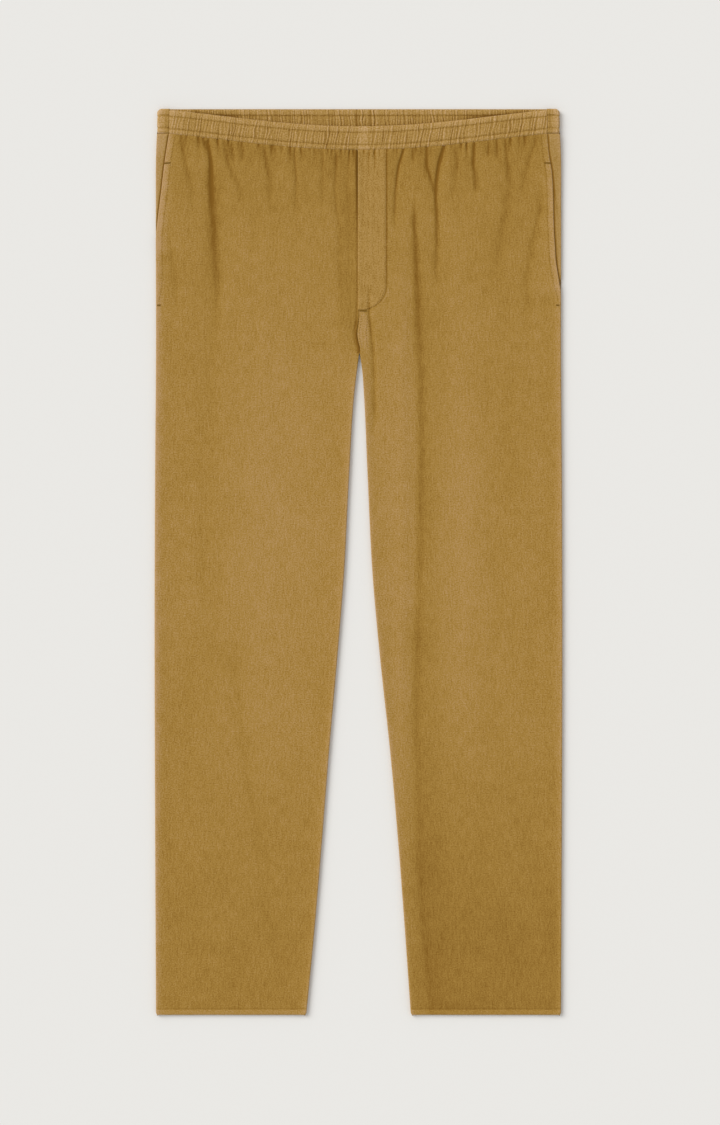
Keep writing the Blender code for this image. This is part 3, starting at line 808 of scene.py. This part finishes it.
def fly_level(x, y):
    """Height of the fly's face: it follows the front, and its folded edge lifts towards the top."""
    open_edge = ease((y - 0.37) / 0.08) * np.exp(-np.maximum(x + FLY_LAP, 0) / (5 * MM))
    ripples = 0.1 * MM * uneven(y + 0.4 * x, 31 * MM, 0.7) + 0.07 * MM * uneven(x, 11 * MM)
    on_front_face = front_level("left", np.maximum(x, 3 * MM), y)
    return on_front_face + 0.25 * MM + 0.5 * MM * open_edge + ripples


fly_rows = np.arange(FLY_FOOT_Y, 0.47, 1.2 * MM)
fly_y, top_drop = up_leg(FLY_FOOT_Y, FLY_TOP_Y, fly_rows, 5, (0.6 * MM, 0.0), (1.0 * MM, radians(-10)))
folded_turn = (0.8 * MM + 0 * fly_y, radians(-50) + 0 * fly_y)
stitched_turn = (0.7 * MM + 0 * fly_y, 0 * fly_y)
stitched_edge = fly_edge_x(np.maximum(fly_y, FLY_FOOT_Y + 0.4 * MM))
fly_columns = np.linspace(0, 1, 34)[1:-1]
distance, drop = across_leg(-FLY_LAP + 0 * fly_y, stitched_edge, folded_turn, stitched_turn, fly_columns, 6)
y = fly_y + (waist_seam_y(distance) - FLY_TOP_Y) * ease((fly_y - 0.44) / 0.022)
face = fly_level(distance, y)
z = face - drop - top_drop
tucked = ease((fly_y - FLY_TOP_Y + TUCK) / TUCK)
z = z - np.maximum(z - FRONT_SEAM_Z - 0.3 * MM, 0) * tucked
place = np.stack([distance, y + ALLOWANCE * tucked, z], axis=-1)
# Painted shade in the hollows and painted highlight on the ridges, pale wear on the turned edges, and
# darker towards the waist.
wear_and_shading = 0.7 * relief_of(face, (4, 4), 0.3 * MM) + 0.25 * np.clip(drop / (0.7 * MM), 0, 1)
wear_and_shading = wear_and_shading - 0.25 * np.exp(-(FLY_TOP_Y - y) / (30 * MM))
fly_piece = lay_cloth("fly_cover", place, cut_of(place), wear_and_shading)
sewn_in(fly_piece, "fly", fly_twill)

# ---- The waistband ----
# A tube of twill round a flat elastic, in a front and a back length. Two stitched rows hold the
# elastic between frills of cloth, and it draws the whole length into fine upright ribs.

BAND_DEPTH = 27.6 * MM
LOW_ROW = 6.6 * MM
HIGH_ROW = 20.4 * MM
BAND_HALF = 1.3 * MM
RIB_PITCH = 3.4 * MM
BAND_COLOURS = {
    "deep_and_painted_shade": (0.19, 0.085, 0.008),
    "dyed": (0.41, 0.24, 0.058),
    "worn_and_painted_light": (0.59, 0.38, 0.185),
}
band_twill = dyed_twill("band_twill", BAND_COLOURS)


def pinch(d, depth):
    """How strongly the stitched rows hold the band down at each height of it."""
    high = HIGH_ROW * depth / BAND_DEPTH
    return hill((d - LOW_ROW) / (0.9 * MM)) + hill((d - high) / (0.9 * MM))


def ribs(s, d, depth, lean, seed):
    """The gathers of a band, from -1 to 1: upright ribs of uneven width, finer in the frills."""
    s = s + lean * (d - depth / 2) + 0.4 * MM * uneven(s + 0.6 * d, 17 * MM, seed)
    phase = 2 * pi * s / RIB_PITCH + 2.0 * uneven(s, 27 * MM, seed)
    phase = phase + 0.9 * uneven(s + 2 * d, 57 * MM, seed + 1)
    frill = ease((LOW_ROW - d) / (1.5 * MM)) + ease((d - HIGH_ROW * depth / BAND_DEPTH) / (1.5 * MM))
    main = 1.9 * np.abs(np.sin(phase / 2)) ** 0.7 - 1.15
    fine = 1.7 * np.abs(np.sin(0.85 * phase + 1.3 * uneven(s, 23 * MM, seed + 4))) ** 0.8 - 1.05
    strength = 0.7 + 0.5 * uneven(s, 21 * MM, seed + 2) + 0.2 * uneven(d + 3 * s, 16 * MM, seed + 3)
    coarse = uneven(s, 9 * MM, seed + 5)
    return strength * (main * (1 - 0.4 * frill) + fine * (0.3 + 0.5 * frill)) + 0.28 * coarse


def casing(name, path, low_y, depth, gathered, lean, seed, tone, end_size):
    """A closed tube along a path of (x, z) centres: its face is on the path's left."""
    centre = np.array(path)
    step = np.gradient(centre, axis=0)
    step /= np.linalg.norm(step, axis=1)[:, None]
    normal = np.stack([-step[:, 1], step[:, 0]], axis=1)
    s = np.concatenate([[0], np.cumsum(np.linalg.norm(np.diff(centre, axis=0), axis=1))])
    ring = np.concatenate([np.linspace(0, 1, 35)[:-1], 1 + np.linspace(0, 1, 25)])
    face = ring < 1
    up = np.where(face, ring, 2 - ring)
    d = depth[:, None] * up[None, :]
    middle = depth[:, None] / 2
    row = np.minimum(pinch(d, depth[:, None]), 1)
    end = np.clip(1 - (np.abs(d - middle) / middle) ** 14, 0, 1) ** 0.5
    end = np.minimum(end, np.sqrt(1 - (1 - np.clip(d / (2.6 * MM), 0, 1)) ** 2))
    half = BAND_HALF * end * (1 - 0.42 * row)
    rib = ribs(s[:, None], d, depth[:, None], lean, seed) * gathered[:, None] * (1 - 0.5 * row)
    out = np.where(face[None, :], half + 0.42 * MM * rib * end, -half + 0.26 * MM * rib * end)
    out = out + 0.75 * MM * hill(d / (1.3 * MM))
    tip = np.minimum(s, s[-1] - s)[:, None]
    out = out * (end_size + (1 - end_size) * ease(tip / (1.6 * MM)))
    x = centre[:, :1] + normal[:, :1] * out
    z = centre[:, 1:] + normal[:, 1:] * out
    y = low_y[:, None] + d
    place = np.stack([x, y, z], axis=-1)
    # The ribs' grooves and the stitched rows are painted in as shade, and the ribs' crests paler, partly as
    # wear and partly as painted highlight; the frills are paler.
    wear_and_shading = 0.08 + 0.85 * np.where(face[None, :], rib, -rib) - 0.55 * row + tone(x, y)
    low_frill = ease((LOW_ROW - 0.8 * MM - d) / (1 * MM))
    high_frill = ease((d - (HIGH_ROW * depth[:, None] / BAND_DEPTH + 0.8 * MM)) / (1 * MM))
    wear_and_shading = wear_and_shading + 0.16 * low_frill + 0.28 * high_frill
    cut = np.stack([s[:, None] + 0 * d, ring[None, :] * float(depth.mean()) + 0 * d], axis=-1)
    piece = lay_cloth(name, place, cut, wear_and_shading, 0)
    tube = bmesh.new()
    tube.from_mesh(piece.data)
    bmesh.ops.remove_doubles(tube, verts=tube.verts, dist=1e-6)
    bmesh.ops.holes_fill(tube, edges=[edge for edge in tube.edges if edge.is_boundary], sides=0)
    bmesh.ops.recalc_face_normals(tube, faces=tube.faces)
    tube.to_mesh(piece.data)
    tube.free()
    return piece


JOINT_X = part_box("waistband_front")[1].x + 0.15 * MM
SEAM_GAP = 0.06 * MM
BACK_BAND_Z = 1.55 * MM
FRONT_BAND_Z = 5.15 * MM
TURN_RADIUS = (FRONT_BAND_Z - BACK_BAND_Z) / 2
SIDE_X = 226.6 * MM - BAND_HALF - TURN_RADIUS


def corner_cut(x):
    """How much the waist's top corners are rounded off at each distance from the middle."""
    over = np.clip((np.abs(x) - 222.0 * MM) / (5.2 * MM), 0, 1)
    return 4.5 * MM * (1 - np.sqrt(1 - over ** 2))


def between(x, low, low_fade, high, high_fade):
    """1 between two places, fading out towards each of them."""
    return ease((x - low) / low_fade) * ease((high - x) / high_fade)


def front_top_y(x):
    return waist_seam_y(x) + BAND_DEPTH


def inner_shade_and_seams(x, y):
    """Paler at the sides, with painted shade inside the band, darker seam lines, and painted shadow under
    the front band's top edge, darkest where it stands off in wedges.
    """
    wedges = between(x, -0.19, 0.006, -0.128, 0.016) + between(x, 0.112, 0.016, 0.196, 0.006)
    under = np.exp(-np.maximum(y - front_top_y(x), 0) / (3.0 * MM)) * (np.abs(x) < JOINT_X)
    seams = hill((x + 2 * MM) / (0.8 * MM)) + 0.5 * hill((x + 29 * MM) / (1.2 * MM))
    seams = seams + 0.5 * hill((x - 13 * MM) / (1.0 * MM))
    inside = ease((SIDE_X - np.abs(x)) / 0.01)
    return 0.6 - 0.92 * inside - seams - (0.35 + 1.0 * wedges) * under


# The back length's path: on top from the right side joint to the right edge, round it, across
# underneath, and the same way up at the left.
strip = [(x, FRONT_BAND_Z) for x in np.arange(JOINT_X - 1.0 * MM, SIDE_X, 0.7 * MM)]
angles = np.linspace(0, pi, 22)
bend = [(SIDE_X + TURN_RADIUS * np.sin(a), BACK_BAND_Z + TURN_RADIUS * (1 + np.cos(a))) for a in angles]
across = [(x, BACK_BAND_Z) for x in np.arange(SIDE_X - 0.5 * MM, -SIDE_X, -0.55 * MM)]
right_half = [(-x, z) for x, z in strip + bend]
path = np.array(right_half + across[::-1] + [(-x, z) for x, z in right_half[::-1]])
x, z = path.T
top = WAIST_Y - corner_cut(x + np.sign(x) * BAND_HALF * 0.8)
low_y = np.full(len(path), SIDE_WAIST_Y + SEAM_GAP)
gathered = np.where(z > BACK_BAND_Z + 0.5 * TURN_RADIUS, 0.25, 1.0)
gathered = np.maximum(gathered * ease((SIDE_X + 2 * MM - np.abs(x)) / 0.012), 0.15)
gathered = gathered * (1 - 0.7 * between(x, -0.053, 0.004, -0.033, 0.004))
back_band = casing("waistband_back_casing", path, low_y, top - low_y, gathered, 0.06, 3.0, inner_shade_and_seams, 0.45)
sewn_in(back_band, "waistband_back", band_twill)


def band_wave(x):
    """The front length doesn't lie quite level."""
    return 0.22 * MM * uneven(x, 71 * MM, 1.0)


def front_tone(x, y):
    """A little paler at both ends and on the plain joining piece, with a darker line at its seam and
    painted shade above each gather below.
    """
    ends = 0.35 * ease((np.abs(x) - 0.19) / 0.02)
    joining = 0.3 * between(x, -1.5 * MM, 2 * MM, 13 * MM, 1 * MM)
    its_seam = hill((x - 11.4 * MM) / (0.7 * MM)) * ease((y - front_top_y(x) + 22 * MM) / (2 * MM))
    notches = 0 * x
    for leg in LEGS:
        for at, depth, half_width, length, lean in GATHERS[leg]:
            notches = notches + depth / (2.0 * MM) * hill((x - at) / (1.2 * half_width))
    low = np.exp(-np.maximum(y - waist_seam_y(x), 0) / (2.6 * MM))
    return ends + joining - 0.7 * its_seam - 1.3 * np.minimum(notches, 1) * low


x = np.arange(-JOINT_X + SEAM_GAP, JOINT_X - SEAM_GAP, 0.5 * MM)
path = np.stack([x, FRONT_BAND_Z + band_wave(x)], axis=1)
low_y = waist_seam_y(x) + SEAM_GAP
gathers = 1 - 0.75 * between(x, -1.5 * MM, 2 * MM, 13.5 * MM, 1.5 * MM)
front_band = casing("waistband_front_casing", path[::-1], low_y[::-1], np.full(len(x), BAND_DEPTH),
                    gathers[::-1], 0.16, 1.0, front_tone, 0.8)
sewn_in(front_band, "waistband_front", band_twill)

# ---- The stitching ----
# Lockstitch in dyed-to-match thread: the band's rows, the fly's J, the centre front, the pocket
# mouths and the hems, with close bar tacks at the pocket ends and the foot of the fly.

STITCH = 2.3 * MM
PITCH = 3.1 * MM
THREAD = 0.5 * MM
TACK_COLOUR = (0.26, 0.138, 0.018)
THREAD_COLOUR = (0.285, 0.15, 0.026)


def plain_finish(name, colour, roughness):
    finish = bpy.data.materials.new(name)
    finish.use_nodes = True
    shader = finish.node_tree.nodes["Principled BSDF"]
    shader.inputs["Base Color"].default_value = (*colour, 1)
    shader.inputs["Roughness"].default_value = roughness
    shader.inputs["Specular IOR Level"].default_value = 0.10
    return finish


thread = plain_finish("dyed_thread", THREAD_COLOUR, 0.8)
tack_thread = plain_finish("dark_tack_thread", TACK_COLOUR, 0.8)


def one_stitch():
    """The corners and faces of a single small rounded stitch."""
    made = bmesh.new()
    bmesh.ops.create_uvsphere(made, u_segments=6, v_segments=4, radius=0.5)
    corners = np.array([vert.co for vert in made.verts])
    faces = [[vert.index for vert in face.verts] for face in made.faces]
    made.free()
    return corners * (1, THREAD, 0.7 * THREAD), faces


def sew(name, stitches, finish):
    """One object of all the stitches given: (centre, direction, length) of each."""
    corners, faces = one_stitch()
    all_corners, all_faces = [], []
    for centre, direction, length in stitches:
        turn = np.array(Vector(direction).to_track_quat("X", "Z").to_matrix())
        first = len(all_corners) * len(corners)
        all_corners.append((corners * (length, 1, 1)) @ turn.T + np.array(centre))
        all_faces += [[first + corner for corner in face] for face in faces]
    mesh = bpy.data.meshes.new(name)
    mesh.from_pydata(np.concatenate(all_corners), [], all_faces)
    mesh.shade_smooth()
    made = bpy.data.objects.new(name, mesh)
    bpy.context.scene.collection.objects.link(made)
    made.data.materials.append(finish)
    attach(made, "root")


def seam(route, level, pitch=PITCH, length=STITCH):
    """Stitches a pitch apart along a route of (x, y) points, at the height that level gives."""
    points = np.array(route, float)
    reach = np.concatenate([[0], np.cumsum(np.hypot(*np.diff(points, axis=0).T))])
    at = np.arange(pitch / 2, reach[-1], pitch)
    ends = []
    for along in (at - length / 2, at + length / 2):
        x = np.interp(along, reach, points[:, 0])
        y = np.interp(along, reach, points[:, 1])
        ends.append(np.stack([x, y, level(x, y)], axis=1))
    return [((a + b) / 2, b - a, float(np.linalg.norm(b - a))) for a, b in zip(*ends)]


def bar_tack(x, y, width, level, lean=0.0):
    """A close zigzag across the end of an opening, centred on (x, y)."""
    tack = []
    for across in np.arange(-width / 2, width / 2, 0.58 * MM):
        px, py = x + across, y + lean * across
        high = float(level(np.array(px), np.array(py))) + 0.1 * MM
        tack.append((Vector((px, py, high)), Vector((0.25, 1, 0)), 2.4 * MM))
    return tack


def on_front(leg):
    def level(x, y):
        return front_level(leg, x, y) + 0.05 * MM
    return level


def on_fly(x, y):
    return fly_level(x, y) + 0.02 * MM


BAND_FACE = BAND_HALF * 0.58 + 0.18 * MM


def on_front_band(x, y):
    return FRONT_BAND_Z + BAND_FACE + band_wave(x)


def level_at(height):
    def level(x, y):
        return height + 0 * x
    return level


band_x = np.arange(-JOINT_X + 1 * MM, JOINT_X - 1 * MM, 2 * MM)
band_stitches = []
for row in (LOW_ROW, HIGH_ROW):
    front_row = np.stack([band_x, waist_seam_y(band_x) + SEAM_GAP + row], axis=1)
    band_stitches += seam(front_row, on_front_band)
    for side in LEGS.values():
        strip_row = [(side * (JOINT_X + 0.5 * MM), SIDE_WAIST_Y + row), (side * SIDE_X, SIDE_WAIST_Y + row)]
        band_stitches += seam(strip_row, level_at(FRONT_BAND_Z + BAND_FACE))
    back_row = [(-SIDE_X, SIDE_WAIST_Y + row), (SIDE_X, SIDE_WAIST_Y + row)]
    band_stitches += seam(back_row, level_at(BACK_BAND_Z - BAND_FACE))
inner_row = [(-0.205, SIDE_WAIST_Y + HIGH_ROW), (0.205, SIDE_WAIST_Y + HIGH_ROW)]
band_stitches += seam(inner_row, level_at(BACK_BAND_Z + BAND_FACE))
sew("waistband_stitches", band_stitches, thread)

straight = [(FLY_WIDTH - 1.3 * MM, y) for y in np.arange(0.461, FLY_CURVE_Y, -3 * MM)]
heights = np.linspace(FLY_CURVE_Y, FLY_FOOT_Y + 1 * MM, 16)
curve = [(float(fly_edge_x(y)) - 1.2 * MM, y + 0.6 * MM) for y in heights]
fly_stitches = seam(straight + curve, on_fly, 2.6 * MM, 2.0 * MM)
heights = np.arange(0.278, 0.242, -2 * MM)
for off in (2.2 * MM, 9.0 * MM):
    pushed = seam_bulge(heights) * (1 - off / 0.02)
    fly_stitches += seam(np.stack([CENTRE_X + off - pushed, heights], axis=1), on_front("left"))
sew("fly_and_front_stitches", fly_stitches, thread)


def sunk_on_fly(x, y):
    return on_fly(x, y) - 0.15 * MM


tacks = bar_tack(5.5 * MM, FLY_FOOT_Y - 1 * MM, 8 * MM, sunk_on_fly)
pocket_stitches = []
for leg, side in LEGS.items():
    heights = np.arange(SIDE_WAIST_Y - 3 * MM, POCKET_FOOT_Y, -3 * MM)
    inset = TOPSTITCH * ease((heights - 0.27) / 0.05)
    mouth_x = np.minimum(through(MOUTH[leg], heights), outer_x(heights)) - inset
    pocket_stitches += seam(np.stack([side * mouth_x, heights], axis=1), on_front(leg))
    for tack_y, width in ((0.449, 6.5 * MM), (POCKET_FOOT_Y - 1 * MM, 4.0 * MM)):
        edge = float(min(through(MOUTH[leg], tack_y), outer_x(tack_y)))
        tacks += bar_tack(side * (edge - 3.5 * MM), tack_y, width, on_front(leg), -0.06 * side)
for y in (WAIST_Y - 6.8 * MM, SIDE_WAIST_Y + 4.6 * MM):
    ends = [(JOINT_X + 0.2 * MM, y), (JOINT_X + 8.5 * MM, y)]
    tacks += seam(ends, level_at(FRONT_BAND_Z + BAND_FACE + 0.25 * MM), 1.5 * MM, 1.6 * MM)
sew("pocket_stitches", pocket_stitches, thread)
sew("bar_tacks", tacks, tack_thread)

hem_stitches = []
for leg, side in LEGS.items():
    inner = float(inner_x(leg, HEM_STITCH_Y)) + 2.5 * MM
    outer = float(outer_x(HEM_STITCH_Y)) - 2.5 * MM
    ends = [(side * inner, HEM_STITCH_Y), (side * outer, HEM_STITCH_Y)]
    hem_stitches += seam(ends, on_front(leg))
    hem_stitches += seam(ends, level_at(0.1 * MM))
sew("hem_stitches", hem_stitches, thread)

# ---- The table, the light and the camera ----
# A plain pale table under one large soft light from the upper left and an even, pale room.

TABLE_COLOUR = (0.839, 0.827, 0.797)

bpy.ops.mesh.primitive_plane_add(size=9.0, location=(0, 0, -0.2 * MM))
table = bpy.context.object
table.name = "table_top"
table.data.materials.append(plain_finish("pale_table", TABLE_COLOUR, 0.9))

key = bpy.data.lights.new("key_light", "SUN")
key.energy = 2.0
key.angle = radians(42)
key_light = bpy.data.objects.new("key_light", key)
key_light.rotation_euler = Vector((1.0, -0.62, -0.95)).to_track_quat("-Z", "Y").to_euler()
bpy.context.scene.collection.objects.link(key_light)

room = bpy.data.worlds.new("pale_room")
room.use_nodes = True
room.node_tree.nodes["Background"].inputs["Color"].default_value = (1.0, 1.0, 1.0, 1)
room.node_tree.nodes["Background"].inputs["Strength"].default_value = 0.58
bpy.context.scene.world = room
bpy.context.scene.view_settings.view_transform = "Standard"

camera = bpy.data.objects.new("camera", bpy.data.cameras.new("camera"))
camera.data.lens = 100
camera.data.sensor_width = 36
camera.location = (1.7 * MM, -0.6 * MM, 3.522)
bpy.context.scene.collection.objects.link(camera)
bpy.context.scene.camera = camera
